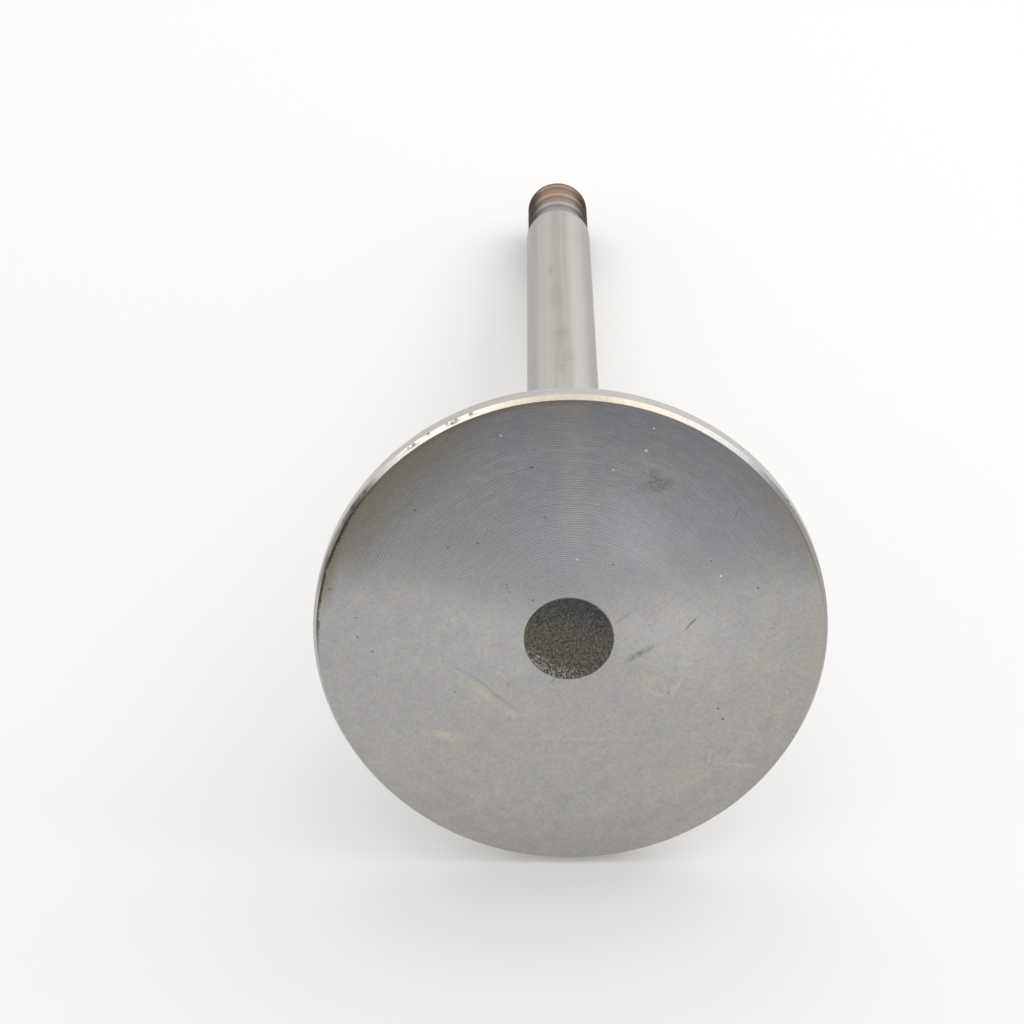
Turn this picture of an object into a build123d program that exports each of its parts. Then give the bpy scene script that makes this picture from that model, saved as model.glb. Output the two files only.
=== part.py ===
from build123d import *
from math import cos, radians, sin
import os

# Poppet valve of a piston engine, turned and ground from one upset forging.
# It stands on its head: the combustion face lies in the plane z = 0 and looks
# down, the stem rises along +Z, and the origin is the middle of the face.

# --- Driving dimensions, in millimetres and degrees ---

overall_length = 111.2       # from the combustion face to the end of the stem

# Head
head_diameter = 42.0         # over the margin, the largest size of the valve
face_bevel_width = 0.26      # radial width of the bevel around the face
face_bevel_height = 0.65     # axial height of the same bevel
margin_height = 1.3          # plain cylindrical band behind the bevel
seat_height = 1.7            # axial height of the ground sealing cone
seat_angle = 45.0            # between the sealing cone and the valve's axis
underhead_angle = 20.0       # between the back of the head and the face plane
neck_radius = 14.0           # sweep from the back of the head into the stem
recess_diameter = 7.2        # forged recess in the middle of the face
recess_depth = 0.7

# Stem
stem_diameter = 7.0          # ground running diameter in the guide

# Stem end, left as hardened, below the ground size
end_zone_length = 10.6       # from the end of the stem to the ground diameter
end_zone_relief = 0.16       # radial step down from the ground diameter
end_chamfer = 0.6

# Keeper grooves
groove_count = 3
groove_pitch = 3.1
first_groove_distance = 2.1  # from the end of the stem to the first groove's middle
groove_radius = 0.95
groove_depth = 0.45

# --- Sizes that follow ---

head_radius = head_diameter / 2
stem_radius = stem_diameter / 2
end_zone_radius = stem_radius - end_zone_relief
margin_start = face_bevel_height
margin_end = margin_start + margin_height
seat_end = margin_end + seat_height
seat_end_radius = head_radius - seat_height * sin(radians(seat_angle)) / cos(radians(seat_angle))
end_zone_start = overall_length - end_zone_length

# The neck's arc is tangent to the stem and to the cone at the back of the head.
neck_centre_radius = stem_radius + neck_radius
neck_end = (
    seat_end
    + (neck_radius + (seat_end_radius - neck_centre_radius) * sin(radians(underhead_angle)))
    / cos(radians(underhead_angle))
)
neck_start = (
    neck_centre_radius - neck_radius * sin(radians(underhead_angle)),
    neck_end - neck_radius * cos(radians(underhead_angle)),
)

# The recess is the cap of a sphere that meets the face at the recess's edge.
recess_sphere_radius = ((recess_diameter / 2) ** 2 + recess_depth**2) / (2 * recess_depth)


def blank():
    """The turned blank: its half section, revolved about the axis."""
    with BuildPart() as body:
        with BuildSketch(Plane.XZ):
            with BuildLine():
                head = Polyline(
                    (0, 0),
                    (head_radius - face_bevel_width, 0),
                    (head_radius, margin_start),
                    (head_radius, margin_end),
                    (seat_end_radius, seat_end),
                    neck_start,
                )
                neck = RadiusArc(head @ 1, (stem_radius, neck_end), neck_radius)
                stem = Polyline(
                    neck @ 1,
                    (stem_radius, end_zone_start - end_zone_relief),
                    (end_zone_radius, end_zone_start),
                    (end_zone_radius, overall_length - end_chamfer),
                    (end_zone_radius - end_chamfer, overall_length),
                    (0, overall_length),
                )
                Line(stem @ 1, head @ 0)
            make_face()
        revolve(axis=Axis.Z)
    return body.part


def recess():
    """The ball that leaves the shallow recess in the face."""
    return Pos(0, 0, recess_depth - recess_sphere_radius) * Sphere(recess_sphere_radius)


def keeper_grooves():
    """Rings of round section, one for each groove, counted from the stem's end."""
    ring_radius = end_zone_radius - groove_depth + groove_radius
    first = overall_length - first_groove_distance
    return [
        Pos(0, 0, first - index * groove_pitch) * Torus(ring_radius, groove_radius)
        for index in range(groove_count)
    ]


valve = blank() - recess()
for ring in keeper_grooves():
    valve -= ring
valve = valve.solid()
valve.label = "valve"

os.makedirs("parts", exist_ok=True)
export_step(valve, "parts/valve.step")
print(f"valve: {valve.volume:.1f} mm3, {valve.bounding_box().size}")
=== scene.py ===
# %% [markdown]
# # A poppet valve from a piston engine, standing on its head
# The real valve is one piece of steel: a forged blank whose head is turned and whose stem is ground.
# It is round all over, so one turned profile can carry the whole shape. What makes it look real is the
# finish of each zone: lathe rings on the face, a ground sealing cone, the rough floor of the forged recess,
# and the heat colours at the end of the stem.

# %% Load the CAD model as a fixed frame
import math
from functools import reduce

import bpy
from mathutils import Matrix, Vector


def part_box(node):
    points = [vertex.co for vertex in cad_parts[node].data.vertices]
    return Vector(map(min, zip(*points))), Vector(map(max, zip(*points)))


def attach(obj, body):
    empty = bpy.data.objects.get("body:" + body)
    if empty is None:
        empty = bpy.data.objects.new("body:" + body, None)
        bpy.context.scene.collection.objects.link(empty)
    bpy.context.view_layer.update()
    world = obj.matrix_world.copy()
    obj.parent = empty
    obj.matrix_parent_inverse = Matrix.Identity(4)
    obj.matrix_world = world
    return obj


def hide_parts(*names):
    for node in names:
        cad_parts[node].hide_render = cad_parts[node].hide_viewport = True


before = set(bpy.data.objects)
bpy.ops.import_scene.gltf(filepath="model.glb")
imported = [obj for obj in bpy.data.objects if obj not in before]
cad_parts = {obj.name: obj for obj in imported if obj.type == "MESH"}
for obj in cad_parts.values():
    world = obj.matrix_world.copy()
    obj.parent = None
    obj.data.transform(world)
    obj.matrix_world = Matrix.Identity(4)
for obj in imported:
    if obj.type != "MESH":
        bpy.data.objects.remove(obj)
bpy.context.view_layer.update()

# %% [markdown]
# ## Sizes
# The turned piece repeats the sizes of the CAD model, in millimetres. Only the small edge roundings are new:
# a real edge is never perfectly sharp, and a rounding of a few hundredths of a millimetre is what catches
# the light as a thin bright line.

# %% Sizes of the valve in millimetres and degrees
MM = 0.001
OVERALL_LENGTH = 111.2
HEAD_DIAMETER = 42.0
BEVEL_WIDTH = 0.26
BEVEL_HEIGHT = 0.65
MARGIN_HEIGHT = 1.3
SEAT_HEIGHT = 1.7
UNDERHEAD_ANGLE = 20.0
NECK_RADIUS = 14.0
RECESS_DIAMETER = 7.2
RECESS_DEPTH = 0.7
STEM_DIAMETER = 7.0
END_ZONE_LENGTH = 10.6
END_ZONE_RELIEF = 0.16
END_CHAMFER = 0.6
GROOVE_COUNT = 3
GROOVE_PITCH = 3.1
FIRST_GROOVE = 2.1
GROOVE_RADIUS = 0.95
GROOVE_DEPTH = 0.45
EDGE_ROUNDING = 0.06

face_radius = HEAD_DIAMETER / 2 - BEVEL_WIDTH
stem_radius = STEM_DIAMETER / 2
seat_end = BEVEL_HEIGHT + MARGIN_HEIGHT + SEAT_HEIGHT
land_radius = stem_radius - END_ZONE_RELIEF
ground_end = OVERALL_LENGTH - END_ZONE_LENGTH - END_ZONE_RELIEF
valve_low, valve_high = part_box("valve")
print("CAD valve is", round((valve_high.x - valve_low.x) / MM, 2), "mm across and",
      round((valve_high.z - valve_low.z) / MM, 2), "mm long")

# %% [markdown]
# ## The camera
# The valve is seen from in front of its face and a little above the stem, with a long lens, so that the
# stem runs away behind the head. The camera is placed first, because all the light is judged through it.

# %% Camera
CAMERA_PLACE = Vector((-3.64, -108.84, -221.09)) * MM
CAMERA_AIM = Vector((-4.84, -2.25, 20.0)) * MM
CAMERA_UP = Vector((0.00185, -1.0, 0.0))
LENS = 106.26
SENSOR = 36.0


def turned_to(place, aim, up):
    """A matrix at place that looks at aim, for cameras and lamps, which look along their own -Z."""
    ahead = (aim - place).normalized()
    right = ahead.cross(up).normalized()
    upward = right.cross(ahead)
    turn = Matrix((right, upward, -ahead)).transposed().to_4x4()
    return Matrix.Translation(place) @ turn


camera_data = bpy.data.cameras.new("camera")
camera_data.lens = LENS
camera_data.sensor_width = SENSOR
camera_data.sensor_fit = "HORIZONTAL"
camera_data.clip_start = 0.005
camera_data.clip_end = 20.0
camera = bpy.data.objects.new("camera", camera_data)
camera.matrix_world = turned_to(CAMERA_PLACE, CAMERA_AIM, CAMERA_UP)
bpy.context.scene.collection.objects.link(camera)
bpy.context.scene.camera = camera
bpy.context.scene.view_settings.view_transform = "Standard"
print("camera is", round((CAMERA_AIM - CAMERA_PLACE).length / MM), "mm from its aim")

# %% [markdown]
# ## Writing node trees as sums
# A node tree holds the same arithmetic as a line of Python, but is slow to read once it is long.
# One small class wraps an output socket: a sum or product written on it adds the Math node, and any other
# node comes from one method that sets the node's settings first and its sockets after them.
# It serves the shaders and the geometry tree alike, because both use the same Math node.

# %% A socket that can be written in sums


def socket_of(sockets, key):
    """A socket by its place, or by its identifier or name."""
    if isinstance(key, int):
        return sockets[key]
    return next(socket for socket in sockets if key in (socket.identifier, socket.name))


def lay_stops(colour_ramp, stops):
    """Lays a colour ramp's stops, each a place from 0 to 1 and a colour."""
    while len(colour_ramp.elements) < len(stops):
        colour_ramp.elements.new(1.0)
    for element, (place, colour) in zip(colour_ramp.elements, stops):
        element.position = place
        element.color = (*colour, 1.0)


class Wire:
    """An output socket of a node tree, with the arithmetic that adds nodes to it."""

    def __init__(self, tree, socket=None):
        self.tree = tree
        self.socket = socket

    def node(self, kind, settings=None, sockets=None, out=0):
        """Adds a node of that kind and gives back one of its outputs.

        Two settings aren't plain ones: the stops of a colour ramp and the number of items of a switch.
        """
        made = self.tree.nodes.new(kind)
        for name, value in (settings or {}).items():
            if name == "stops":
                lay_stops(made.color_ramp, value)
            elif name == "items":
                while len(made.index_switch_items) < value:
                    made.index_switch_items.new()
            else:
                setattr(made, name, value)
        for name, value in (sockets or {}).items():
            socket = socket_of(made.inputs, name)
            if isinstance(value, Wire):
                self.tree.links.new(value.socket, socket)
            else:
                socket.default_value = value
        return Wire(self.tree, socket_of(made.outputs, out) if made.outputs else None)

    def twin(self, out):
        """Another output of the node that this socket belongs to."""
        return Wire(self.tree, socket_of(self.socket.node.outputs, out))

    def figure(self, operation, *values):
        """A Math node on these values, which are numbers or wires."""
        return self.node("ShaderNodeMath", {"operation": operation}, dict(enumerate(values)))

    def math(self, operation, *others):
        """A Math node whose first value is this wire, such as its square root."""
        return self.figure(operation, self, *others)

    def __add__(self, other):
        return self.figure("ADD", self, other)

    __radd__ = __add__

    def __sub__(self, other):
        return self.figure("SUBTRACT", self, other)

    def __rsub__(self, other):
        return self.figure("SUBTRACT", other, self)

    def __mul__(self, other):
        return self.figure("MULTIPLY", self, other)

    __rmul__ = __mul__

    def __truediv__(self, other):
        return self.figure("DIVIDE", self, other)

    def __gt__(self, other):
        return self.figure("GREATER_THAN", self, other)

    def __lt__(self, other):
        return self.figure("LESS_THAN", self, other)


# %% [markdown]
# ## Patterns that both kinds of tree use
# Nearly every border on the valve is soft, so a smooth ramp is used more than anything else, and noise makes
# it wander. Both are functions that add a node to the tree of the wire they are given. Most places on a
# turned piece are told by their distance from the axis, so that has a helper too.

# %% Ramps, noise and the distance from the axis


def ramp(value, low, high, start=0.0, end=1.0):
    """A smooth change from start to end while value goes from low to high."""
    return value.node("ShaderNodeMapRange", {"interpolation_type": "SMOOTHSTEP"}, {
        "Value": value, "From Min": low, "From Max": high, "To Min": start, "To Max": end})


def noise(point, scale=1.0, detail=3.0, roughness=0.55, out=0):
    """Noise from 0 to 1, or with three different values in its Color."""
    return point.node("ShaderNodeTexNoise", sockets={
        "Vector": point, "Scale": scale, "Detail": detail, "Roughness": roughness}, out=out)


def smallest(*values):
    """The smallest of several wires."""
    return reduce(lambda first, second: first.math("MINIMUM", second), values)


def largest(*values):
    """The largest of several wires."""
    return reduce(lambda first, second: first.math("MAXIMUM", second), values)


def axes_of(point):
    """The x, y and z of a point and its distance from the Z axis."""
    x = point.node("ShaderNodeSeparateXYZ", sockets={"Vector": point})
    y, z = x.twin("Y"), x.twin("Z")
    return x, y, z, (x * x + y * y).math("SQRT")


def place_round(radius, angle, height):
    """A place at that distance from the axis, that many degrees round it and at that height."""
    turn = math.radians(angle)
    return (radius * math.cos(turn), radius * math.sin(turn), height)


# %% [markdown]
# ## The turned piece
# A lathe cuts one profile while the work spins, and Geometry Nodes can do the same. The profile is a chain
# of corners at a radius and a height; Fillet Curve rounds each corner, from the finest edge to the 14 mm
# sweep of the neck, and even makes the round floors of the recess and of the keeper grooves.
# Each straight between two corners gets its own number of rows, so that it can be divided as finely as it
# needs and no finer.

# %% The corners of the profile


def profile_corners(size):
    """Corners as radius, height, rounding, points in the rounding and rows up to the next corner."""
    stem = size["Stem diameter"] / 2
    head = size["Head diameter"] / 2
    recess = size["Recess diameter"] / 2
    depth = size["Recess depth"]
    edge = size["Edge rounding"]
    length = size["Overall length"]
    bevel_end = size["Bevel height"]
    margin_end = bevel_end + size["Margin height"]
    cone_end = margin_end + size["Seat height"]
    cone_radius = head - size["Seat height"]
    meeting = cone_end + (cone_radius - stem) * math.tan(math.radians(UNDERHEAD_ANGLE))
    recess_ball = (recess * recess + depth * depth) / (2 * depth)
    recess_turn = (recess * recess + depth * depth) / (2 * recess)
    tip = stem - size["End zone relief"]
    zone_start = length - size["End zone length"]
    corners = [
        (0.0, depth, 0.0, 1, 0),
        (recess_turn, depth, recess_ball, 34, 0),
        (recess, 0.0, edge, 3, 22),
        (head - size["Bevel width"], 0.0, edge, 3, 6),
        (head, bevel_end, edge * 1.5, 3, 8),
        (head, margin_end, edge * 1.5, 3, 9),
        (cone_radius, cone_end, edge * 3, 3, 8),
        (stem, meeting, size["Neck radius"], 28, 16),
        (stem, zone_start - size["End zone relief"], edge, 2, 1),
        (tip, zone_start, edge, 2, 4),
    ]
    wall = (GROOVE_RADIUS - GROOVE_DEPTH) / GROOVE_RADIUS
    half_width = GROOVE_RADIUS * math.sqrt(1 - wall * wall)
    apex = GROOVE_RADIUS / wall - (GROOVE_RADIUS - GROOVE_DEPTH)
    for groove in reversed(range(GROOVE_COUNT)):
        middle = length - size["First groove"] - size["Groove pitch"] * groove
        corners += [
            (tip, middle - half_width, edge * 1.3, 2, 0),
            (tip - apex, middle, GROOVE_RADIUS, 16, 0),
            (tip, middle + half_width, edge * 1.3, 2, 4),
        ]
    corners += [
        (tip, length - size["End chamfer"], edge * 1.5, 3, 2),
        (tip - size["End chamfer"], length, edge * 1.5, 3, 7),
        (0.0, length, 0.0, 1, 0),
    ]
    return corners


# %% [markdown]
# ## Sizes as named inputs
# Every size becomes a named input of the geometry tree, so that the piece can be tried at other sizes from
# the modifier's panel. A forging is never quite true to its drawing: the recess was pressed before the face
# was turned, and it lies a quarter of a millimetre off the axis and a little wide.

# %% Inputs of the geometry tree
RECESS_DRIFT = (-0.13, 0.20)
RECESS_GROWTH = 0.025
RECESS_GRAIN = 0.11
SEGMENTS = 376
lathe_sizes = {
    "Overall length": OVERALL_LENGTH,
    "Head diameter": HEAD_DIAMETER,
    "Bevel width": BEVEL_WIDTH,
    "Bevel height": BEVEL_HEIGHT,
    "Margin height": MARGIN_HEIGHT,
    "Seat height": SEAT_HEIGHT,
    "Neck radius": NECK_RADIUS,
    "Recess diameter": RECESS_DIAMETER,
    "Recess depth": RECESS_DEPTH,
    "Recess grain": RECESS_GRAIN,
    "Recess drift X": RECESS_DRIFT[0],
    "Recess drift Y": RECESS_DRIFT[1],
    "Recess growth": RECESS_GROWTH,
    "Stem diameter": STEM_DIAMETER,
    "End zone length": END_ZONE_LENGTH,
    "End zone relief": END_ZONE_RELIEF,
    "End chamfer": END_CHAMFER,
    "First groove": FIRST_GROOVE,
    "Groove pitch": GROOVE_PITCH,
    "Edge rounding": EDGE_ROUNDING,
    "Segments": SEGMENTS,
}
print(len(lathe_sizes), "named inputs")

# %% [markdown]
# ## From corners to a profile curve
# A straight line is cut into as many points as there are corners, and each point picks its own place by its
# index. The rounding comes next, and then the rows, which are crowded towards the ends of each straight: a
# flat then stays flat right up to its edge when it is shaded smooth.

# %% The profile


def picked(index, values, kind):
    """A field that gives each point the value at its own index."""
    sockets = {"Index": index}
    for place, value in enumerate(values):
        sockets[f"Item_{place}"] = value
    settings = {"data_type": kind, "items": len(values)}
    return index.node("GeometryNodeIndexSwitch", settings, sockets)


def rounded_profile(begin, size):
    """The profile as a curve in the XZ plane, its corners rounded and its straights divided."""
    radii, heights, roundings, points, rows = zip(*profile_corners(size))
    index = begin.node("GeometryNodeInputIndex")
    places = [
        begin.node("ShaderNodeCombineXYZ", sockets={"X": radius, "Z": height})
        for radius, height in zip(radii, heights)
    ]
    line = begin.node("GeometryNodeCurvePrimitiveLine")
    line = begin.node("GeometryNodeResampleCurve", sockets={"Curve": line, "Count": len(places)})
    line = begin.node("GeometryNodeStoreNamedAttribute", {"data_type": "INT"},
                      {"Geometry": line, "Name": "corner", "Value": index})
    chain = begin.node("GeometryNodeSetPosition", sockets={
        "Geometry": line, "Position": picked(index, places, "VECTOR")})
    rounded = begin.node("GeometryNodeFilletCurve", {"mode": "POLY"}, {
        "Curve": chain,
        "Count": picked(index, points, "INT"),
        "Radius": picked(index, roundings, "FLOAT"),
        "Limit Radius": True})
    rounded = begin.node("GeometryNodeStoreNamedAttribute", {"data_type": "FLOAT"},
                         {"Geometry": rounded, "Name": "station", "Value": index})
    corner = begin.node("GeometryNodeInputNamedAttribute", {"data_type": "INT"}, {"Name": "corner"})
    following = begin.node("GeometryNodeFieldAtIndex", {"data_type": "INT"},
                           {"Value": corner, "Index": index + 1})
    divided = begin.node("GeometryNodeSubdivideCurve", sockets={
        "Curve": rounded, "Cuts": picked(corner, rows, "INT") * (following > corner)})
    return rounded, divided


def crowded_to_ends(begin, rounded, divided, crowding=0.82):
    """Moves the rows of each straight towards its ends, the more the nearer crowding is to 1."""
    station = begin.node("GeometryNodeInputNamedAttribute", sockets={"Name": "station"})
    position = begin.node("GeometryNodeInputPosition")
    before = (station + 0.0001).math("FLOOR")
    part = station - before
    eased_part = part - crowding * (part * math.tau).math("SINE") / math.tau
    ends = [
        begin.node("GeometryNodeSampleIndex", {"data_type": "FLOAT_VECTOR", "clamp": True},
                   {"Geometry": rounded, "Value": position, "Index": before + step})
        for step in (0, 1)
    ]
    place = begin.node("ShaderNodeMix", {"data_type": "VECTOR"}, {
        "Factor_Float": eased_part, "A_Vector": ends[0], "B_Vector": ends[1]}, "Result_Vector")
    return begin.node("GeometryNodeSetPosition", sockets={"Geometry": divided, "Position": place})


# %% [markdown]
# ## Spinning the profile
# A grid already has the right faces, so it only has to be wrapped: its rows take their radius and height
# from the profile, and its columns take their turn about the axis. Merging by distance then closes the seam
# and the two poles, which leaves one closed skin.

# %% The spin
MERGE_DISTANCE = 0.0008


def spun(begin, profile, segments):
    """Spins the profile about Z: a grid whose rows are the profile and whose columns are the turns."""
    rows = begin.node("GeometryNodeAttributeDomainSize", {"component": "CURVE"},
                      {"Geometry": profile}, "Point Count")
    grid = begin.node("GeometryNodeMeshGrid", sockets={
        "Size X": 1.0, "Size Y": 1.0, "Vertices X": rows, "Vertices Y": segments + 1})
    position = begin.node("GeometryNodeInputPosition")
    across = begin.node("ShaderNodeSeparateXYZ", sockets={"Vector": position})
    row = ((across + 0.5) * (rows - 1)).math("ROUND")
    turn = (0.5 - across.twin("Y")) * math.tau
    station = begin.node("GeometryNodeSampleIndex", {"data_type": "FLOAT_VECTOR", "clamp": True},
                         {"Geometry": profile, "Value": position, "Index": row})
    section = begin.node("ShaderNodeSeparateXYZ", sockets={"Vector": station})
    place = begin.node("ShaderNodeCombineXYZ", sockets={
        "X": section * turn.math("COSINE"),
        "Y": section * turn.math("SINE"),
        "Z": section.twin("Z")})
    skin = begin.node("GeometryNodeSetPosition", sockets={"Geometry": grid, "Position": place})
    return begin.node("GeometryNodeMergeByDistance", sockets={
        "Geometry": skin, "Distance": MERGE_DISTANCE})


# %% [markdown]
# ## Small damage that belongs in the shape
# The recess keeps the skin of the forging, so its floor is really uneven, and the edge of the head has a
# few nicks from handling. Both are moved into the mesh rather than left to a bump in the material. A nick
# only ever goes inwards, so the valve keeps its size.

# %% Nicks on the edge of the head
# degrees round the axis, height above the face, reach and depth, in millimetres
NICKS = [
    (-112.4, 0.50, 0.34, 0.05),
    (-116.0, 0.55, 0.30, 0.05),
    (-117.0, 0.40, 0.36, 0.06),
    (-118.2, 0.55, 0.26, 0.04),
    (-122.9, 0.62, 0.24, 0.04),
    (-126.9, 0.45, 0.36, 0.06),
    (-128.3, 0.50, 0.24, 0.04),
    (-142.5, 0.20, 0.50, 0.06),
    (-147.0, 0.25, 0.60, 0.06),
    (-34.0, 0.70, 0.40, 0.04),
    (71.0, 0.50, 0.40, 0.05),
]
# a small radius below this height is in the recess, and above it in the end of the stem
FACE_SIDE = 2.0


def worn(begin, skin, size):
    """Roughens the floor of the recess, moves it off the axis and presses the nicks into the edge."""
    position = begin.node("GeometryNodeInputPosition")
    x, y, z, radius = axes_of(position)
    rim_of_recess = size["Recess diameter"] / 2
    inside = ramp(radius, rim_of_recess - 0.05, rim_of_recess - 0.55) * (z < FACE_SIDE)
    rise = (noise(position, 2.6, 3.0, 0.65) - 0.45) * inside * size["Recess grain"] * 2
    press = 0.0
    for angle, height, reach, depth in NICKS:
        away = begin.node("ShaderNodeVectorMath", {"operation": "DISTANCE"}, {
            "Vector": position, "Vector_001": place_round(HEAD_DIAMETER / 2, angle, height)}, "Value")
        press = press + ramp(away, reach, 0.1 * reach, 0.0, depth)
    inwards = begin.node("ShaderNodeCombineXYZ", sockets={
        "X": x / radius * press * -1.0, "Y": y / radius * press * -1.0, "Z": rise + press * 0.4})
    moved = begin.node("GeometryNodeSetPosition", sockets={"Geometry": skin, "Offset": inwards})
    off_axis = ramp(radius, rim_of_recess + 2.0, rim_of_recess + 0.1) * (z < FACE_SIDE)
    drift = begin.node("ShaderNodeCombineXYZ", sockets={
        "X": off_axis * (size["Recess drift X"] + x * size["Recess growth"]),
        "Y": off_axis * (size["Recess drift Y"] + y * size["Recess growth"])})
    return begin.node("GeometryNodeSetPosition", sockets={"Geometry": moved, "Offset": drift})


print(len(NICKS), "nicks on the edge of the head")

# %% [markdown]
# ## The whole recipe
# The zones of the valve are told apart while the piece is still perfectly round, by radius and height, and
# each face keeps the number of its zone. After the wear and the change to metres the tree ends in Realize
# Instances and one Set Material for each zone.

# %% The geometry tree
GROUND_START = 19.0


def zone_numbers(begin):
    """The names of the zones, and a field with the number of the zone that each face is in."""
    height, radius = axes_of(begin.node("GeometryNodeInputPosition"))[2:]
    # each border keeps a few hundredths of a millimetre clear of its edge, so that no face straddles it
    tests = {
        "ground_rim": radius > face_radius - 0.03,
        "forged_back": height > seat_end + 0.05,
        "ground_stem": height > GROUND_START,
        "tempered_end": height > ground_end,
        "forged_recess": (radius < RECESS_DIAMETER / 2 - 0.02) * (height < FACE_SIDE),
    }
    number = largest(*[test * place for place, test in enumerate(tests.values(), start=1)])
    return ["turned_face", *tests], number


def lathe_tree(finishes):
    """The recipe from the profile to the finishes, and the sockets of its named inputs."""
    tree = bpy.data.node_groups.new("valve_lathe", "GeometryNodeTree")
    tree.interface.new_socket("Geometry", in_out="OUTPUT", socket_type="NodeSocketGeometry")
    sockets = {}
    for name, value in lathe_sizes.items():
        kind = "NodeSocketInt" if isinstance(value, int) else "NodeSocketFloat"
        sockets[name] = tree.interface.new_socket(name, in_out="INPUT", socket_type=kind)
    begin = Wire(tree)
    entry = begin.node("NodeGroupInput")
    size = {name: entry.twin(name) for name in lathe_sizes}
    profile = crowded_to_ends(begin, *rounded_profile(begin, size))
    skin = spun(begin, profile, size["Segments"])
    names, number = zone_numbers(begin)
    skin = begin.node("GeometryNodeStoreNamedAttribute", {"data_type": "INT", "domain": "FACE"},
                      {"Geometry": skin, "Name": "zone", "Value": number})
    skin = begin.node("GeometryNodeSetShadeSmooth", sockets={"Geometry": worn(begin, skin, size)})
    skin = begin.node("GeometryNodeTransform", sockets={"Geometry": skin, "Scale": (MM, MM, MM)})
    piece = begin.node("GeometryNodeRealizeInstances", sockets={"Geometry": skin})
    zone = begin.node("GeometryNodeInputNamedAttribute", {"data_type": "INT"}, {"Name": "zone"})
    for place, name in enumerate(names):
        piece = begin.node("GeometryNodeSetMaterial", sockets={
            "Geometry": piece, "Selection": zone.math("COMPARE", place, 0.5),
            "Material": finishes[name]})
    exit_node = tree.nodes.new("NodeGroupOutput")
    tree.links.new(piece.socket, exit_node.inputs[0])
    return tree, sockets


# %% [markdown]
# ## Finishes
# Each zone has its own finish, and all of them read Object coordinates, turned to millimetres first,
# so that a ring pitch or a scratch is written in the size it has on the real valve. Steel shows mostly what
# it mirrors, so a finish is a bare tint, a roughness and a direction of grinding, and then its history.

# %% Helpers for finishes


class Finish:
    """A material under construction: its surface node and the coordinates that patterns use."""

    def __init__(self, name, **constants):
        self.material = bpy.data.materials.new(name)
        self.material.use_nodes = True
        tree = self.material.node_tree
        self.surface = tree.nodes["Principled BSDF"]
        for key, value in constants.items():
            self.surface.inputs[key.replace("_", " ")].default_value = value
        self.begin = Wire(tree)
        own = self.begin.node("ShaderNodeTexCoord", out="Object")
        self.point = self.begin.node("ShaderNodeVectorMath", {"operation": "SCALE"},
                                     {"Vector": own, "Scale": 1 / MM})
        self.x, self.y, self.z, self.radius = axes_of(self.point)

    def feed(self, name, wire):
        """Links a wire to a socket of the surface."""
        self.begin.tree.links.new(wire.socket, self.surface.inputs[name])

    def around(self, turns, along):
        """Coordinates that change with the direction from the axis and along one more value."""
        return self.begin.node("ShaderNodeCombineXYZ", sockets={
            "X": self.x / self.radius * turns, "Y": self.y / self.radius * turns, "Z": along})

    def blend(self, part, first, second, mode="MIX"):
        """Mixes two colours, by part."""
        sides = {"Factor_Float": part}
        for name, side in (("A_Color", first), ("B_Color", second)):
            sides[name] = side if isinstance(side, Wire) else (*side, 1.0)
        return self.begin.node("ShaderNodeMix", {"data_type": "RGBA", "blend_type": mode},
                               sides, "Result_Color")

    def shaded(self, colour, value):
        """A colour made lighter or darker by a factor that varies."""
        grey = self.begin.node("ShaderNodeCombineColor", sockets={
            "Red": value, "Green": value, "Blue": value})
        return self.blend(1.0, colour, grey, "MULTIPLY")

    def shaken(self, reach, scale):
        """The object's own coordinates, shaken sideways by noise as far as reach."""
        shake = noise(self.point, scale, 2.0, 0.5, "Color")
        shake = self.begin.node("ShaderNodeVectorMath", {"operation": "MULTIPLY_ADD"}, {
            0: shake, 1: (reach * 2, reach * 2, 0.0), 2: self.point})
        return self.begin.node("ShaderNodeVectorMath", {"operation": "SUBTRACT"}, {
            0: shake, 1: (reach, reach, 0.0)})

    def oval(self, where, place, turn, halves):
        """How far each point is from an oval's middle, in its half sizes: 1 on its edge."""
        own = self.begin.node("ShaderNodeMapping", {"vector_type": "TEXTURE"}, {
            "Vector": where, "Location": place,
            "Rotation": (0.0, 0.0, math.radians(turn)), "Scale": halves})
        return self.begin.node("ShaderNodeVectorMath", {"operation": "LENGTH"}, {"Vector": own}, "Value")

    def sector(self, middle, spread):
        """A soft mask round one direction from the axis, both in degrees."""
        turn = math.radians(middle)
        facing = (self.x * math.cos(turn) + self.y * math.sin(turn)) / self.radius
        return ramp(facing, math.cos(math.radians(spread)), math.cos(math.radians(spread * 0.3)))

    def bump(self, height, depth):
        """Feeds a height, times a depth in millimetres, to the surface's normal."""
        self.feed("Normal", self.begin.node("ShaderNodeBump", sockets={
            "Height": height, "Distance": depth * MM}))


# %% [markdown]
# ## The turned face
# The face was cut with one pass of a pointed tool, which leaves a very fine spiral: each groove tilts the
# surface a few degrees towards or away from the axis. Along a groove the steel is nearly a mirror, across it
# light is spread wide, and that is what Anisotropic stands for; Cycles takes its direction from round the
# object's own Z axis, which is the valve's axis. The grooves themselves are a wave over the radius, with a
# drifting phase so that no two lie quite alike, and years of wiping have broken them into short arcs.

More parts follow.
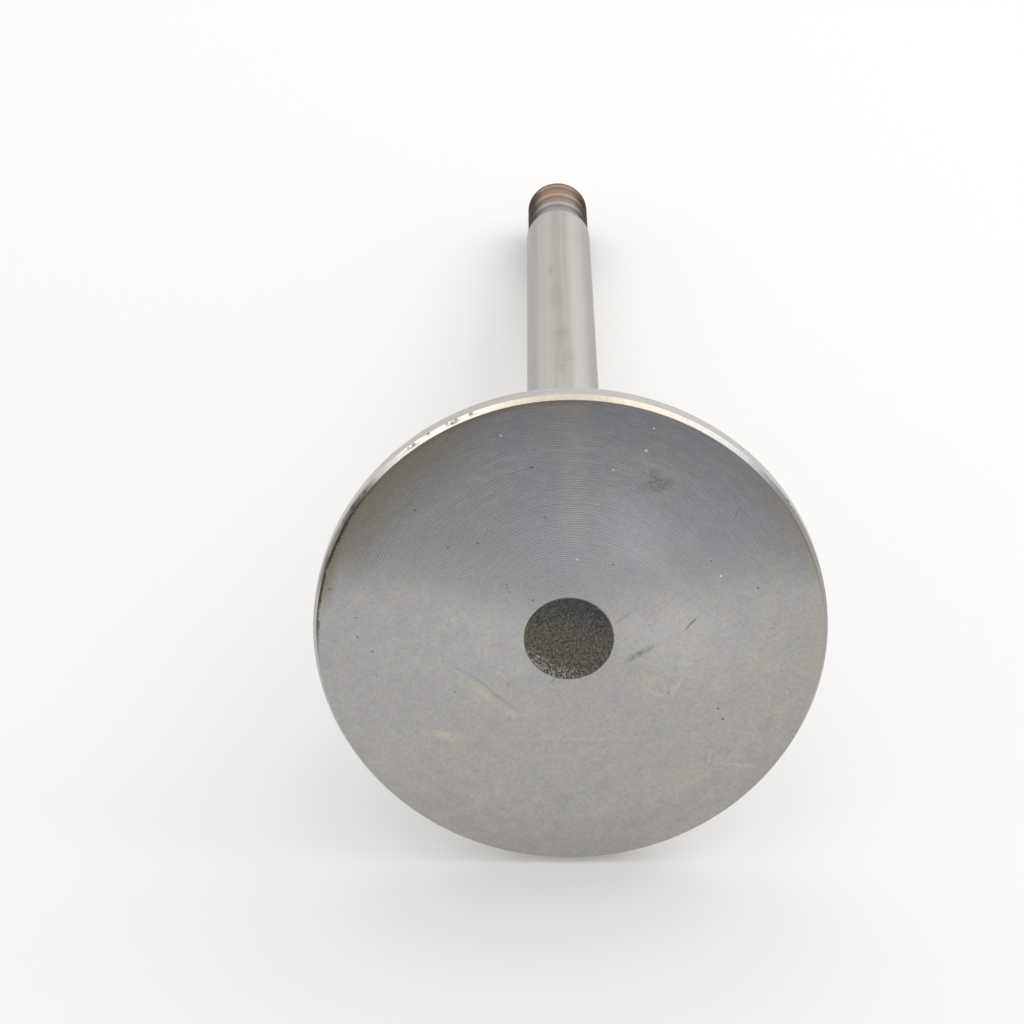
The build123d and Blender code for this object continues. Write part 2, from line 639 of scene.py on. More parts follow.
# %% Rings left by the tool
RING_PITCH = 0.17
face = Finish("turned_face", Metallic=1.0, Anisotropic=0.92, Anisotropic_Rotation=0.25)
phase = noise(face.around(0.9, face.radius * 1.1), 1.0, 3.0, 0.6)
groove = ((face.radius / RING_PITCH + phase * 2.6) * math.tau).math("SINE")
broken = ramp(noise(face.around(16.0, face.radius * 1.9), 1.0, 3.0, 0.6), 0.38, 0.64)
lines = noise(face.around(8.0, face.radius * 4.2), 1.0, 4.0, 0.75)
bands = noise(face.around(1.4, face.radius * 0.6), 1.0, 3.0, 0.6)
print("turned face: rings every", RING_PITCH, "mm")

# %% [markdown]
# ## Where the rings are worn away
# One side of the face has been wiped smooth, so the rings fade out across it. The cloth has left short
# combed strokes in three directions there, and hairlines where a film dried. On the ringed side two patches
# and a narrow column carry a painted highlight, the sheen that turned steel spreads along its radius, and
# towards the edge the steel goes duller.

# %% Worn areas and painted highlights
DEEP = 100.0


def on_face(x, y, turn, length, width):
    """An oval on the face: its middle, its turn in degrees and its half sizes, through any depth."""
    return (x, y, 0.0), turn, (length / 2, width / 2, DEEP)


patches = noise(face.point, 0.55, 5.0, 0.7) - 0.5
speckle = noise(face.point, 5.0, 2.0, 0.6)
clouds = noise(face.point, 0.17, 3.0, 0.6)
wandering = face.shaken(0.8, 0.5)
worn_border = face.y + 0.26 * face.radius + 0.05 * face.x + patches * 4.0 + (clouds - 0.5) * 3.0
smooth = ramp(worn_border, -5.2, 0.4)
rings_show = 1 - 0.96 * smooth
# painted highlight: two patches and a narrow column are painted lighter, as the sheen of the turned steel
painted_sheen = ramp(face.oval(wandering, *on_face(2.4, -9.4, 0.0, 21.0, 14.0)), 1.0, 0.0) * 0.12
painted_sheen = painted_sheen + ramp(face.oval(wandering, *on_face(5.4, -9.0, 60.0, 10.0, 6.8)), 1.1, 0.1) * 0.13
painted_streak = ramp((face.x - 0.2).math("ABSOLUTE"), 1.7, 0.2) * ramp(face.y, -6.0, -11.0)
dull_edge = ramp(face.radius, 15.5, 20.7) * (0.15 - 0.10 * smooth)


def combed(turn, length, width):
    """Noise drawn out in one direction, as a cloth or a brush leaves it."""
    drawn = face.point.node("ShaderNodeMapping", {"vector_type": "TEXTURE"}, {
        "Vector": face.point, "Rotation": (0.0, 0.0, math.radians(turn)), "Scale": (length, width, 1.0)})
    return noise(drawn, 1.0, 3.0, 0.65) - 0.5


wiping = combed(-38.0, 2.2, 0.38) + combed(40.0, 1.8, 0.34) * 0.8 + combed(-82.0, 2.6, 0.45) * 0.6
hairlines = ramp(largest(combed(41.0, 3.6, 0.20), combed(-35.0, 3.2, 0.18)), 0.14, 0.27) * smooth
print("worn side: strokes in three directions")

# %% [markdown]
# ## Handling marks on the face
# Oil, a trace of rust and a few knocks give the face its history. Every mark is an oval at a place on the
# face; the nearest oval of a kind wins, and one ramp turns that distance into a mask. The coordinates are
# shaken with a little noise first, so that no mark has a drawn edge.

# %% Marks, as x and y, turn in degrees, length and width, in millimetres on the face
SCRATCHES = [
    (9.80, -1.20, -50.0, 1.90, 0.21),
    (13.25, -11.10, -71.0, 0.95, 0.14),
    (-5.14, -4.45, 76.0, 1.00, 0.12),
    (-5.05, -4.98, -60.0, 0.34, 0.10),
    (-4.98, -4.05, 50.0, 0.30, 0.10),
    (-2.10, -10.62, 62.0, 0.50, 0.15),
    (-6.05, -10.55, 35.0, 0.34, 0.12),
    (-9.90, -17.40, 86.0, 0.45, 0.15),
    (-15.90, 3.60, 70.0, 0.50, 0.12),
    (8.10, 5.10, -35.0, 0.60, 0.10),
]
PITS = [
    (-3.20, -15.00, 0.0, 0.34, 0.26),
    (-7.50, -8.40, 30.0, 0.30, 0.18),
    (-12.50, -11.30, 0.0, 0.26, 0.22),
    (-9.90, -8.00, 0.0, 0.22, 0.18),
    (-17.40, -1.70, 0.0, 0.18, 0.16),
    (-17.35, 0.05, 0.0, 0.22, 0.22),
    (-16.15, 1.35, 0.0, 0.22, 0.18),
    (-19.50, -4.30, 0.0, 0.24, 0.16),
    (15.15, -4.40, 40.0, 0.30, 0.14),
    (16.90, -9.60, 0.0, 0.18, 0.16),
    (3.40, -6.50, 0.0, 0.20, 0.20),
    (11.30, -6.80, 0.0, 0.20, 0.20),
    (12.20, 6.60, 0.0, 0.24, 0.22),
    (12.60, 7.55, 0.0, 0.30, 0.20),
    (-9.45, 5.05, 0.0, 0.20, 0.18),
    (-3.05, -3.30, 0.0, 0.20, 0.18),
]
PALE_MARKS = [
    (5.90, -16.40, 0.0, 0.30, 0.22),
    (6.50, -18.30, 0.0, 0.19, 0.19),
    (3.30, -14.75, 0.0, 0.17, 0.17),
    (12.10, -5.45, 0.0, 0.20, 0.18),
    (0.50, -6.90, 0.0, 0.16, 0.16),
    (-5.60, -17.70, 0.0, 0.20, 0.22),
]
FAINT_MARKS = [
    (1.40, 9.45, 0.0, 7.60, 0.34),
    (8.70, 4.50, -62.0, 2.60, 0.50),
    (11.60, 11.10, 105.0, 1.50, 0.40),
    (14.30, 11.90, 6.0, 4.40, 0.30),
    (14.60, 8.90, 3.0, 1.60, 0.30),
    (-10.20, 9.10, 8.0, 3.60, 1.00),
    (-4.90, 7.00, 38.0, 1.50, 0.60),
    (-7.00, 5.30, 42.0, 4.60, 0.55),
    (7.00, 5.20, 25.0, 2.20, 0.40),
    (7.78, 6.45, 80.0, 0.90, 0.36),
    (-1.90, 9.40, 0.0, 1.00, 0.46),
    (-3.60, 7.25, 4.0, 1.20, 0.28),
    (-9.50, -1.30, 80.0, 1.60, 0.60),
]
DIM_MARKS = [
    (-6.60, 4.85, 42.0, 6.40, 0.26),
    (-9.10, 3.00, 30.0, 1.80, 0.20),
    (-1.45, 4.10, -37.0, 1.40, 0.24),
    (-5.10, 4.30, 0.0, 0.40, 0.36),
    (-5.00, 7.75, 60.0, 0.50, 0.24),
    (-13.20, 9.30, 80.0, 0.34, 0.20),
    (4.20, -1.65, -37.0, 2.30, 0.20),
    (4.00, -1.45, -40.0, 0.80, 0.32),
    (6.45, -1.00, -60.0, 0.40, 0.20),
    (16.40, -0.75, -30.0, 0.70, 0.20),
]
SMEAR = [(5.60, 1.60, -32.0, 3.20, 0.64)]
SMUDGE = [(6.95, -13.45, 5.0, 2.40, 1.30), (6.60, -14.20, 75.0, 1.30, 0.80)]

# %% Masks of the marks


def nearest(where, marks):
    """How far, in half sizes, each point of the face is from the nearest of these marks."""
    return smallest(*[face.oval(where, *on_face(*mark)) for mark in marks])


steady = face.shaken(0.06, 4.0)
uneven = ramp(speckle, 0.36, 0.56, 0.45, 1.0)
scratched = ramp(nearest(steady, SCRATCHES), 1.3, 0.2) * uneven * 0.5
pitted = ramp(nearest(steady, PITS), 1.2, 0.4) * 0.6
pale = ramp(nearest(steady, PALE_MARKS), 1.3, 0.5) * 0.75
dim = ramp(nearest(face.shaken(0.12, 1.5), DIM_MARKS), 1.3, 0.0) * 0.28
smeared = ramp(nearest(steady, SMEAR), 1.3, 0.1) * ramp(speckle, 0.34, 0.52) * 0.75
faint = ramp(nearest(face.shaken(0.25, 1.2), FAINT_MARKS), 1.5, 0.0)
faint = faint * ramp(speckle, 0.36, 0.60, 0.1, 1.0) * 0.74
smudge = ramp(nearest(face.shaken(0.5, 1.6), SMUDGE), 1.5, 0.3) * ramp(speckle, 0.36, 0.56) * 0.5
print(len(SCRATCHES + PITS + PALE_MARKS + FAINT_MARKS + DIM_MARKS + SMEAR + SMUDGE), "marks on the face")

# %% [markdown]
# ## Stains near the edge of the face
# Oil has baked on near the edge in an olive tone on one side and as a fainter tan on the other, and the edge
# itself has a dark broken line on one side. Rust has started along the edge and round the recess. Each
# stain is a soft sector of the face, and the same patches that wear the rings away make its inner border
# wander.

# %% Stains
outer = ramp(face.radius + patches * 4.0 + (speckle - 0.5) * 1.5, 16.2, 20.6)
olive = outer * face.sector(-139.0, 30.0) * ramp(speckle, 0.25, 0.62, 0.35, 1.0)
olive_rim = ramp(face.radius + patches * 2.0, 19.0, 20.5) * face.sector(-158.0, 18.0)
olive = largest(olive, olive_rim) * 0.62
tan_border = face.radius + patches * 3.0
tan = ramp(tan_border, 19.2, 20.6) * face.sector(-26.0, 16.0) * 0.32
tan = largest(tan, ramp(tan_border, 19.4, 20.7) * face.sector(2.0, 20.0) * 0.26)
# a dark broken line along the edge of the face, round -162 degrees
edge_line = ramp(face.radius + (speckle - 0.5) * 0.5 + patches * 0.6, 20.42, 20.62)
edge_line = edge_line * face.sector(-162.0, 26.0) * 0.95
edge_rust = ramp(face.radius + (speckle - 0.5) * 0.4, 20.2, 20.6) * face.sector(-112.0, 40.0) * 0.5
recess_across = RECESS_DIAMETER * (1 + RECESS_GROWTH)
recess_outline = on_face(*RECESS_DRIFT, 0.0, recess_across, recess_across)
recess_rust = ramp(face.oval(face.point, *recess_outline), 1.035, 1.005)
edge_rust = largest(edge_rust, recess_rust * face.sector(-62.0, 80.0) * 0.6)
print("recess as forged:", round(recess_across, 2), "mm across")

# %% [markdown]
# ## The colour of the face
# Bare steel is a cool grey, a shade warmer where it was wiped, with thin patches of beige oil there.
# A multiplied factor makes rings, bands and grain of it, a trace of coloured noise keeps the grey alive, and
# the stains and marks go on top, one colour after another.

# %% Colours of the face
COOL_STEEL, PLAIN_STEEL = (0.386, 0.388, 0.414), (0.404, 0.400, 0.400)
WIPED_COOL, WIPED_WARM = (0.382, 0.382, 0.386), (0.387, 0.375, 0.364)
# the second colour on the next line is a painted highlight, laid along the narrow column
THIN_OIL, STREAK_HIGHLIGHT_STEEL = (0.420, 0.394, 0.340), (0.440, 0.415, 0.388)
OLIVE_OIL, OLIVE_CRUMB = (0.215, 0.184, 0.112), (0.36, 0.31, 0.18)
TAN_OIL, DRIED_FILM = (0.42, 0.36, 0.26), (0.54, 0.500, 0.415)
DIM_LINE, BROWN_SMEAR = (0.12, 0.12, 0.12), (0.17, 0.155, 0.115)
FACE_RUST, BRIGHT_SPOT, KNOCKS_AND_DARK_EDGE = (0.26, 0.17, 0.115), (0.96, 0.94, 0.88), (0.07, 0.06, 0.052)

# %% Bare steel, ringed and wiped
tinge = noise(face.point, 1.2, 5.0, 0.75, "Color")
grain = noise(face.point, 3.4, 3.0, 0.7)
steel = face.blend(ramp(clouds - face.x * 0.006, 0.38, 0.64), COOL_STEEL, PLAIN_STEEL)
warmth = ramp(face.y + 0.25 * face.x + patches * 20.0, -2.5, 9.0)
wiped = face.blend(warmth, WIPED_COOL, WIPED_WARM)
oiled = ramp(noise(face.shaken(0.6, 1.2), 0.34, 5.0, 0.75), 0.47, 0.62)
wiped = face.blend(oiled * 0.42, wiped, THIN_OIL)
# the narrow column is tinted paler as a painted highlight
steel = face.blend(painted_streak * 0.45, steel, STREAK_HIGHLIGHT_STEEL)
steel = face.blend(smooth, steel, wiped)
steel = face.blend(0.12 + 0.17 * smooth, steel, tinge, "SOFT_LIGHT")
ring_shade = groove * (0.012 + 0.048 * broken) + (lines - 0.5) * 0.30
near_recess = ramp(face.radius + patches * 5.0, 15.0, 6.5) * smooth * 0.05
beside_recess = ramp(face.oval(wandering, *on_face(10.5, 0.2, 12.0, 18.0, 14.0)), 1.0, 0.2)
near_recess = near_recess + beside_recess * 0.07
area_shade = (1 + painted_sheen + painted_streak * 0.04 + near_recess) * (1 - dull_edge)
grain_shade = (bands - 0.5) * 0.13 + (grain - 0.5) * (0.14 + 0.28 * smooth)
grain_shade = grain_shade + (patches * 0.28 + wiping * 0.16 + (clouds - 0.5) * 0.08) * smooth
steel = face.shaded(steel, (1 + ring_shade * rings_show + grain_shade) * area_shade)

# %% Stains and marks laid over the steel
LAYERS = [
    (olive, OLIVE_OIL),
    (olive * ramp(speckle, 0.50, 0.64) * 0.8, OLIVE_CRUMB),
    (tan, TAN_OIL),
    (dim, DIM_LINE),
    (smudge + smeared, BROWN_SMEAR),
    (largest(faint, hairlines * 0.5), DRIED_FILM),
    (edge_rust, FACE_RUST),
    (pale, BRIGHT_SPOT),
    (largest(scratched, pitted, edge_line), KNOCKS_AND_DARK_EDGE),
]
for layer, colour in LAYERS:
    steel = face.blend(layer, steel, colour)
face.feed("Base Color", steel)
face.feed("Roughness", 0.165 + patches * 0.05 + olive * 0.2 + pitted * 0.2)
relief = (groove * (0.10 + 0.22 * broken) + lines * 0.4) * (1 - 0.85 * smooth)
face.bump(relief - (pitted + scratched) * 2.0, 0.0062)
print("turned face:", len(LAYERS), "layers over bare steel")

# %% [markdown]
# ## The floor of the recess
# Nobody machines the recess: it keeps the scale and the shot-blasted grain of the forging, so it is darker
# than the face and scatters more light than it mirrors. Its scale is painted in shade on one side and
# painted lighter and browner on the other, and grains of one or two tenths of a millimetre are painted as
# bright glints, most of all on the side that faces the lamp. A line of rust has started along its edge.

# %% The forged recess
GRAIN_SIZE = 0.2
# the dark and brown scale are shaded and lit copies of the scale, painted across the recess; the bright
# grain is a painted glint
SCALE_SHADED_PAINTED, SCALE_LIT_PAINTED = (0.092, 0.098, 0.110), (0.168, 0.154, 0.131)
PAINTED_GLINT_GRAIN, RECESS_RUST = (0.70, 0.68, 0.63), (0.30, 0.17, 0.11)
recess = Finish("forged_recess", Metallic=0.75)
grit = noise(recess.point, 1 / GRAIN_SIZE, 3.0, 0.7)
sand = noise(recess.point, 2 / GRAIN_SIZE, 2.0, 0.6)
tints = noise(recess.point, 0.45, 3.0, 0.6)
# painted shade and light across the recess, darker towards -Y
painted_light_slope = recess.y - 0.35 * recess.x + (tints - 0.5) * 4.0
scale_colour = recess.blend(ramp(painted_light_slope, -3.6, 0.6), SCALE_SHADED_PAINTED, SCALE_LIT_PAINTED)
grains = ramp(grit, 0.34, 0.68, 0.55, 1.36) * (1 + (sand - 0.5) * 1.5)
scale_colour = recess.shaded(scale_colour, largest(grains, 0.12))
# painted glints: bright grains on the side of the recess round 118 degrees
glint_side = ramp(recess.radius + (tints - 0.5) * 1.2, 2.75, 3.5) * recess.sector(118.0, 50.0)
painted_glints = ramp(sand + grit, 1.05, 1.20) * (0.05 + 0.85 * glint_side)
scale_colour = recess.blend(painted_glints, scale_colour, PAINTED_GLINT_GRAIN)
rusty = ramp(recess.oval(recess.point, *recess_outline), 0.955, 0.99)
rusty = rusty * recess.sector(-62.0, 75.0) * ramp(tints, 0.35, 0.6, 0.4, 1.0)
scale_colour = recess.blend(rusty * 0.8, scale_colour, RECESS_RUST)
recess.feed("Base Color", scale_colour)
recess.feed("Roughness", 0.36 + (sand - 0.5) * 0.4)
recess.bump(grit + sand * 0.5, 0.13)
print("recess: grains of", GRAIN_SIZE / 2, "to", GRAIN_SIZE, "mm")

# %% [markdown]
# ## The ground edge
# The bevel, the margin and the sealing cone are ground in one setting, on a wheel that runs round the head,
# so their marks run round as well. The bevel is duller and more marked than the rest, since it takes every
# knock. Round the head its tone is painted light: a painted straw highlight on the upper side, a brighter
# painted glint beside it and painted shade on one flank. Dirt sits in the nicks.

# %% The ground rim
GROUND_DULL, GROUND_BRIGHT = (0.58, 0.56, 0.54), (0.66, 0.645, 0.62)
# the straw, bright and dark bevel colours are a painted highlight, a painted glint and painted shade
BEVEL_GREY, BEVEL_PAINTED_HIGHLIGHT = (0.495, 0.490, 0.484), (0.515, 0.470, 0.400)
BEVEL_PAINTED_GLINT, BEVEL_PAINTED_SHADE = (0.620, 0.600, 0.565), (0.278, 0.276, 0.272)
NICK_DIRT, DARK_EDGE_BAND = (0.12, 0.09, 0.065), (0.07, 0.066, 0.06)
rim = Finish("ground_rim", Metallic=1.0, Anisotropic=0.4, Specular_Tint=(0.8, 0.8, 0.8, 1.0))
tone = noise(rim.around(10.0, rim.z * 2.0), 1.0, 4.0, 0.6)
ticks = noise(rim.around(60.0, rim.z * 0.8), 1.0, 3.0, 0.7)
wheel = noise(rim.around(2.0, rim.z * 16.0), 1.0, 3.0, 0.7)
on_bevel = ramp(rim.z, 0.72, 0.60)
ground = rim.blend(ramp(tone, 0.3, 0.7), GROUND_DULL, GROUND_BRIGHT)
# painted light on the bevel: a straw highlight round -91 degrees, a bright glint round -124 degrees and
# shade round -14 degrees
bevel_with_painted_light = rim.blend(rim.sector(-91.0, 40.0), BEVEL_GREY, BEVEL_PAINTED_HIGHLIGHT)
bevel_with_painted_light = rim.blend(rim.sector(-124.0, 22.0) * 0.8, bevel_with_painted_light, BEVEL_PAINTED_GLINT)
bevel_with_painted_light = rim.blend(rim.sector(-14.0, 36.0) * 0.75, bevel_with_painted_light, BEVEL_PAINTED_SHADE)
ground = rim.blend(on_bevel, ground, bevel_with_painted_light)
ground = rim.shaded(ground, 1 + (wheel - 0.5) * 0.3 + (ticks - 0.5) * (0.15 + 0.35 * on_bevel))
shaken_rim = rim.shaken(0.05, 6.0)
nicked = smallest(*[
    rim.oval(shaken_rim, place_round(HEAD_DIAMETER / 2, angle, height), 0.0, (reach * 0.8,) * 3)
    for angle, height, reach, depth in NICKS
])
ground = rim.blend(ramp(nicked, 1.0, 0.4) * 0.8, ground, NICK_DIRT)
# a dark broken band low on the bevel, round -154 degrees
dark_edge_band = ramp(rim.z, 0.62, 0.30) * rim.sector(-154.0, 18.0) * ramp(tone, 0.30, 0.55, 0.5, 1.0)
ground = rim.blend(dark_edge_band * 0.8, ground, DARK_EDGE_BAND)
rim.feed("Base Color", ground)
rim.feed("Roughness", 0.30 + (ticks - 0.5) * 0.15)
rim.bump(wheel * 0.6 + ticks * 0.4, 0.008)
print("rim: bevel, margin and sealing cone")

# %% [markdown]
# ## The back of the head
# Behind the sealing cone the head is only rough-turned, up to where the neck runs into the stem. The marks
# run round again but are coarser than on the face, and the steel has a dull skin from the heat.

# %% The back of the head
BACK_DARK, BACK_PALE = (0.33, 0.325, 0.31), (0.41, 0.40, 0.38)
back = Finish("forged_back", Metallic=1.0, Anisotropic=0.5, Anisotropic_Rotation=0.25)
tone = noise(back.point, 0.5, 5.0, 0.6)
turned = noise(back.around(0.8, back.z * 2.4 + back.radius * 1.6), 1.0, 5.0, 0.75)
plain_steel = back.blend(ramp(tone, 0.3, 0.7), BACK_DARK, BACK_PALE)
plain_steel = back.shaded(plain_steel, 1 + (turned - 0.5) * 0.4)
back.feed("Base Color", plain_steel)
back.feed("Roughness", 0.32 + (tone - 0.5) * 0.15)
back.bump(turned, 0.012)
print("back of the head: rough-turned")

# %% [markdown]
# ## The stem
# The stem was ground between wheels and has since slid in its guide for years, which polishes soft streaks
# along it and leaves a faint brown varnish in places. Four lengthwise bands are lighter still: partly polish
# and partly a painted reflection of the bright studio on either side of the stem. Specular Tint lowers what
# the steel mirrors at a glancing angle, as a thin film of oil does, so the sides of the stem don't flare up.

# %% The ground stem
# degrees round the axis, height, width and length in millimetres, and strength
VARNISH = [
    (-108.0, 80.5, 1.0, 2.8, 0.30),
    (-92.0, 61.0, 2.0, 7.0, 0.20),
    (-86.0, 53.0, 2.2, 9.0, 0.24),
    (-99.0, 72.0, 2.0, 8.0, 0.16),
]
SATIN_DARK, SATIN_PALE = (0.630, 0.600, 0.552), (0.710, 0.685, 0.635)
POLISH_AND_SHEEN_STEEL, BROWN_VARNISH = (0.815, 0.785, 0.738), (0.33, 0.26, 0.19)
stem = Finish("ground_stem", Metallic=1.0, Anisotropic=0.5, Anisotropic_Rotation=0.25,
              Specular_Tint=(0.50, 0.50, 0.51, 1.0))
streaks = noise(stem.around(5.0, stem.z * 0.02), 1.0, 4.0, 0.6)
fine = noise(stem.around(30.0, stem.z * 0.05), 1.0, 3.0, 0.6)
cloud = noise(stem.point, 0.12, 4.0, 0.6)
ground = stem.blend(ramp(streaks, 0.32, 0.68), SATIN_DARK, SATIN_PALE)
ground = stem.shaded(ground, 1 + (fine - 0.5) * 0.08 + (cloud - 0.5) * 0.2)
# partly polish, partly a painted reflection: four lengthwise bands painted lighter
polish_and_painted_sheen = largest(
    stem.sector(-119.0, 18.0) * 0.6,
    stem.sector(-58.0, 22.0) * 0.9,
    stem.sector(-30.0, 40.0) * 0.6,
    stem.sector(-172.0, 30.0) * 0.9)
ground = stem.blend(polish_and_painted_sheen, ground, POLISH_AND_SHEEN_STEEL)
blot = ramp(noise(stem.point, 0.8, 3.0, 0.6), 0.36, 0.58, 0.3, 1.0)
shaken_film = stem.shaken(0.5, 0.6)
for angle, spot_height, width, length, strength in VARNISH:
    spot = place_round(stem_radius, angle, spot_height)
    away = stem.oval(shaken_film, spot, angle, (DEEP, width / 2, length / 2))
    ground = stem.blend(ramp(away, 1.4, 0.0) * blot * strength, ground, BROWN_VARNISH)
stem.feed("Base Color", ground)
stem.feed("Roughness", 0.25 + (cloud - 0.5) * 0.10)
print("stem:", len(VARNISH), "spots of varnish")

# %% [markdown]
# ## The end of the stem
# The end is hardened after grinding, and the heat leaves its colours: copper-brown at the very end, then a
# straw tone, and a blue-grey where the steel stayed cooler. Oxide has gathered in the keeper grooves, and
# both sides of the end, towards +X and -X, are painted darker as painted shade.

# %% The tempered end
# places from the start of the end zone, at 0, to the end of the stem, at 1
HEAT_COLOURS = [
    (0.00, (0.56, 0.555, 0.575)),
    (0.26, (0.53, 0.515, 0.525)),
    (0.36, (0.59, 0.50, 0.450)),
    (0.47, (0.53, 0.405, 0.330)),
    (0.62, (0.58, 0.440, 0.355)),
    (0.82, (0.54, 0.410, 0.330)),
    (1.00, (0.30, 0.220, 0.175)),
]
SIDE_PAINTED_SHADE, GROOVE_OXIDE = (0.075, 0.065, 0.06), (0.13, 0.090, 0.068)
tip = Finish("tempered_end", Metallic=1.0, Specular_Tint=(0.14, 0.14, 0.15, 1.0))
heat = noise(tip.point, 0.5, 4.0, 0.6)
height = (tip.z + (heat - 0.5) * 1.0 - ground_end) / (OVERALL_LENGTH - ground_end)
colours = height.node("ShaderNodeValToRGB", {"stops": HEAT_COLOURS}, {"Fac": height})
in_groove = ramp(tip.radius, land_radius - 0.05, land_radius - 0.3)
# painted shade: both sides of the end, towards +X and -X, are darkened
side_shade_painted = ramp((tip.x / tip.radius).math("ABSOLUTE"), 0.40, 0.92) * 0.8
colours = tip.blend(side_shade_painted, colours, SIDE_PAINTED_SHADE)
tip.feed("Base Color", tip.blend(in_groove * 0.65, colours, GROOVE_OXIDE))
tip.feed("Roughness", 0.42 + in_groove * 0.1 + (heat - 0.5) * 0.1)
print("tempered end:", GROOVE_COUNT, "keeper grooves")

# %% [markdown]
# ## Making the valve
# The modifier gets its sizes before it is first evaluated, by the identifier of each socket. The evaluated
# result is then taken over as a plain mesh, because everything after this treats it as one, and the
# modifier goes. The new piece stands in for the CAD node valve, which is hidden, and rides on the body root.

# %% Make the valve
finishes = {item.material.name: item.material for item in (face, recess, rim, back, stem, tip)}
tree, sockets = lathe_tree(finishes)
valve = bpy.data.objects.new("turned_valve", bpy.data.meshes.new("turned_valve"))
bpy.context.scene.collection.objects.link(valve)
lathe = valve.modifiers.new("lathe", "NODES")
lathe.node_group = tree
for name, value in lathe_sizes.items():
    lathe[sockets[name].identifier] = value
bpy.context.view_layer.update()
whole = valve.evaluated_get(bpy.context.evaluated_depsgraph_get())
plain = bpy.data.meshes.new_from_object(whole)
plain.materials.pop(index=0)
plain.attributes.remove(plain.attributes["zone"])
valve.modifiers.clear()
valve.data = plain
triangles = sum(len(polygon.vertices) - 2 for polygon in plain.polygons)
print("turned valve:", len(plain.vertices), "points,", triangles, "triangles,",
      [material.name for material in plain.materials])
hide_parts("valve")
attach(valve, "root")

# %% [markdown]
# ## The table
# The valve lies on a plain white table, touching it with the edge of its head and the end of its stem, so
# the table is a plane through those two points. It is seen from one side only, which keeps it out of the
# way of a look from below. To the camera and in reflections the paint is lifted towards white by a part of
# plain emission, which leaves the valve's own shadow on it.

# %% The table's paint
WHITE = (1.0, 1.0, 1.0, 1.0)
OFF_WHITE = (0.965, 0.955, 0.945, 1.0)
table_material = bpy.data.materials.new("table_white")
table_material.use_nodes = True
table_material.node_tree.nodes.clear()
begin = Wire(table_material.node_tree)
own = begin.node("ShaderNodeTexCoord", out="Object")
depth = begin.node("ShaderNodeSeparateXYZ", sockets={"Vector": own}).twin("Z")
path = begin.node("ShaderNodeLightPath", out="Is Camera Ray")
far_lift = ramp(depth, 0.10, 0.30, 0.08, 0.70)
near_lift = ramp(depth, 0.0, 0.04, 0.45, 0.05)
lift = path * far_lift + path.twin("Is Glossy Ray") * near_lift
paint = begin.node("ShaderNodeBsdfDiffuse", sockets={"Color": OFF_WHITE})
glow = begin.node("ShaderNodeEmission", sockets={"Color": WHITE, "Strength": 1.0})
front = begin.node("ShaderNodeMixShader", sockets={0: lift, 1: paint, 2: glow})
clear = begin.node("ShaderNodeBsdfTransparent")
behind = begin.node("ShaderNodeNewGeometry", out="Backfacing")
table_surface = begin.node("ShaderNodeMixShader", sockets={0: behind, 1: front, 2: clear})
begin.node("ShaderNodeOutputMaterial", sockets={"Surface": table_surface})

# %% The table
rim_contact = Vector((0.0, HEAD_DIAMETER / 2, BEVEL_HEIGHT + MARGIN_HEIGHT)) * MM
end_contact = Vector((0.0, land_radius, OVERALL_LENGTH - END_CHAMFER)) * MM
along = (end_contact - rim_contact).normalized()
across = Vector((1.0, 0.0, 0.0))
# metres from the edge of the head, and metres to each side
near_edge, far_edge, half_width = -0.099, 1.2, 0.9
corners = [
    rim_contact + along * near_edge - across * half_width,
    rim_contact + along * near_edge + across * half_width,
    rim_contact + along * far_edge + across * half_width,
    rim_contact + along * far_edge - across * half_width,
]
table_mesh = bpy.data.meshes.new("table")
table_mesh.from_pydata(corners, [], [(0, 1, 2, 3)])
if table_mesh.polygons[0].normal.y > 0:
    table_mesh.flip_normals()
table_mesh.materials.append(table_material)
table = bpy.data.objects.new("table", table_mesh)
bpy.context.scene.collection.objects.link(table)
print("table normal", [round(value, 3) for value in table_mesh.polygons[0].normal])

# %% [markdown]
# ## What the steel mirrors
# Steel has no look of its own without something to mirror. In its reflections the valve sees a studio: a
# pale tent overhead, brightest low over the table and darker far out to both sides, and a darker room beyond
# the near edge of the table, which is what makes one half of the face darker than the other. A row of bright
# windows, high up behind the head and dimmer in the middle, puts the highlight on the bevel. Everything that
# isn't a reflection gets plain soft white from all round, a little stronger from the right.

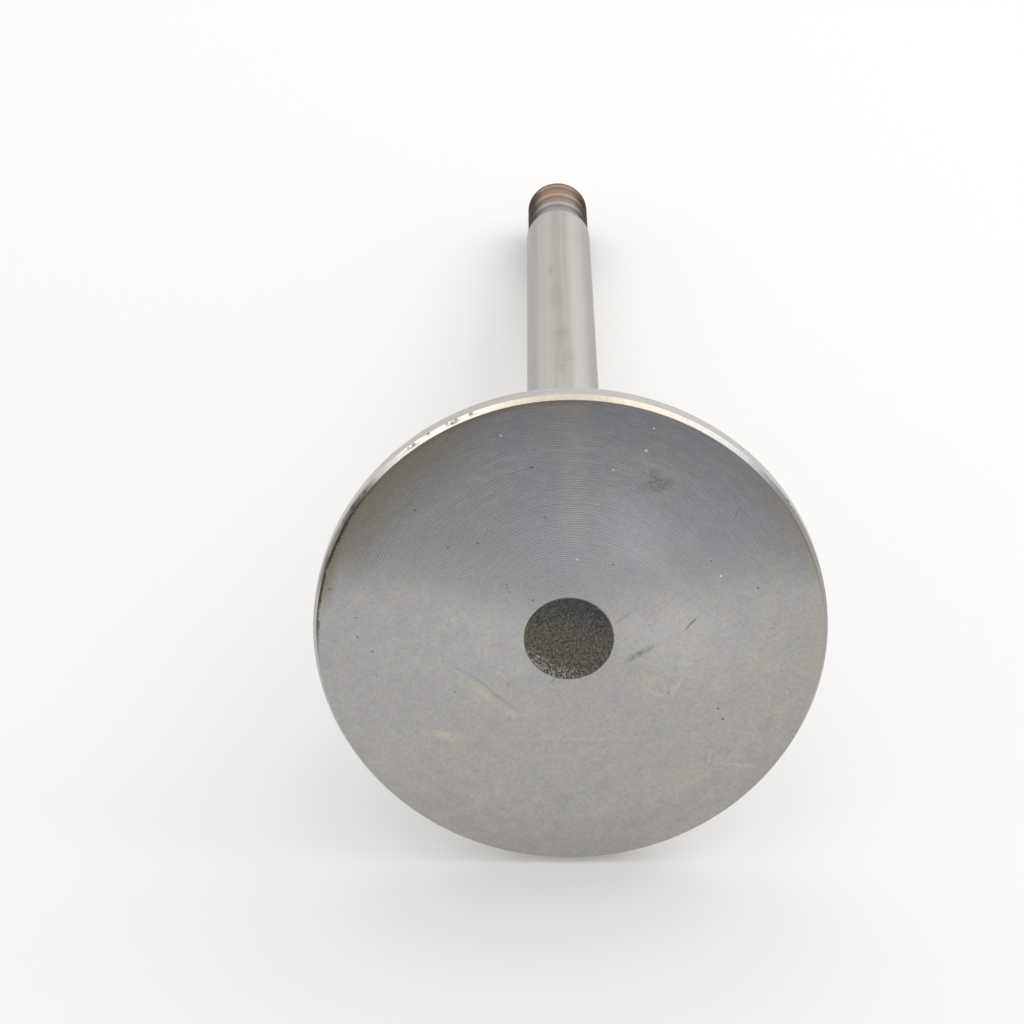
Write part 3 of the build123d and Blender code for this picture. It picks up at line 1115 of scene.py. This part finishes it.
# %% The studio
WINDOW_LIGHT = 1.95
SIDE_DARKNESS = 0.66
world = bpy.data.worlds.new("studio")
world.use_nodes = True
world.node_tree.nodes.clear()
begin = Wire(world.node_tree)
ray = begin.node("ShaderNodeTexCoord", out="Generated")
aim = begin.node("ShaderNodeSeparateXYZ", sockets={"Vector": ray})
up, ahead, aside = aim.twin("Y"), aim.twin("Z"), aim.math("ABSOLUTE")
room = ramp(aim, -0.15, 0.15, 0.38, 0.50)
tent = ramp(up, -0.12, -0.38, 1.0, 0.90) * ramp(aim, -0.4, 0.4, 0.94, 1.10)
tent = tent * (1 - ramp(aside, 0.70, 0.84) * ramp(up, -0.42, -0.24) * SIDE_DARKNESS)
windows = ramp(ahead, 0.52, 0.42) * ramp(ahead, 0.12, 0.30) * ramp(up, -0.26, -0.50)
tent = tent + windows * ramp(aside, 0.10, 0.36, 0.35, 1.0) * WINDOW_LIGHT
level = room + (tent - room) * ramp(ahead, -0.82, -0.5)
white, soft, studio = [
    begin.node("ShaderNodeBackground", sockets={"Color": WHITE, "Strength": strength})
    for strength in (1.0, ramp(aim, -0.7, 0.7, 0.70, 0.94), level)
]
path = begin.node("ShaderNodeLightPath", out="Is Camera Ray")
sky = begin.node("ShaderNodeMixShader", sockets={0: path.twin("Is Glossy Ray"), 1: soft, 2: studio})
seen = largest(path, path.twin("Is Transmission Ray"))
sky = begin.node("ShaderNodeMixShader", sockets={0: seen, 1: sky, 2: white})
begin.node("ShaderNodeOutputWorld", sockets={"Surface": sky})
bpy.context.scene.world = world
print("studio:", len(world.node_tree.nodes), "nodes")

# %% [markdown]
# ## Lamps
# Two soft lamps, a wide one overhead and a smaller one to the right, model the shadow on the table and the
# dull floor of the recess. Neither is mirrored in the steel, whose reflections all come from the studio.

# %% The lamps
LAMP_AIM = Vector((0.0, 0.0, 0.01))


def soft_lamp(name, place, width, height, energy):
    """A rectangular lamp that shines on the head of the valve and isn't mirrored in it."""
    data = bpy.data.lights.new(name, "AREA")
    data.shape = "RECTANGLE"
    data.size = width
    data.size_y = height
    data.energy = energy
    lamp = bpy.data.objects.new(name, data)
    lamp.matrix_world = turned_to(Vector(place), LAMP_AIM, Vector((0.0, 0.0, 1.0)))
    lamp.visible_camera = False
    lamp.visible_glossy = False
    bpy.context.scene.collection.objects.link(lamp)
    print(name, "of", energy, "W")


soft_lamp("softbox", (0.02, -0.42, 0.19), 0.95, 0.42, 0.45)
soft_lamp("side_lamp", (0.42, -0.36, 0.04), 0.36, 0.36, 0.50)
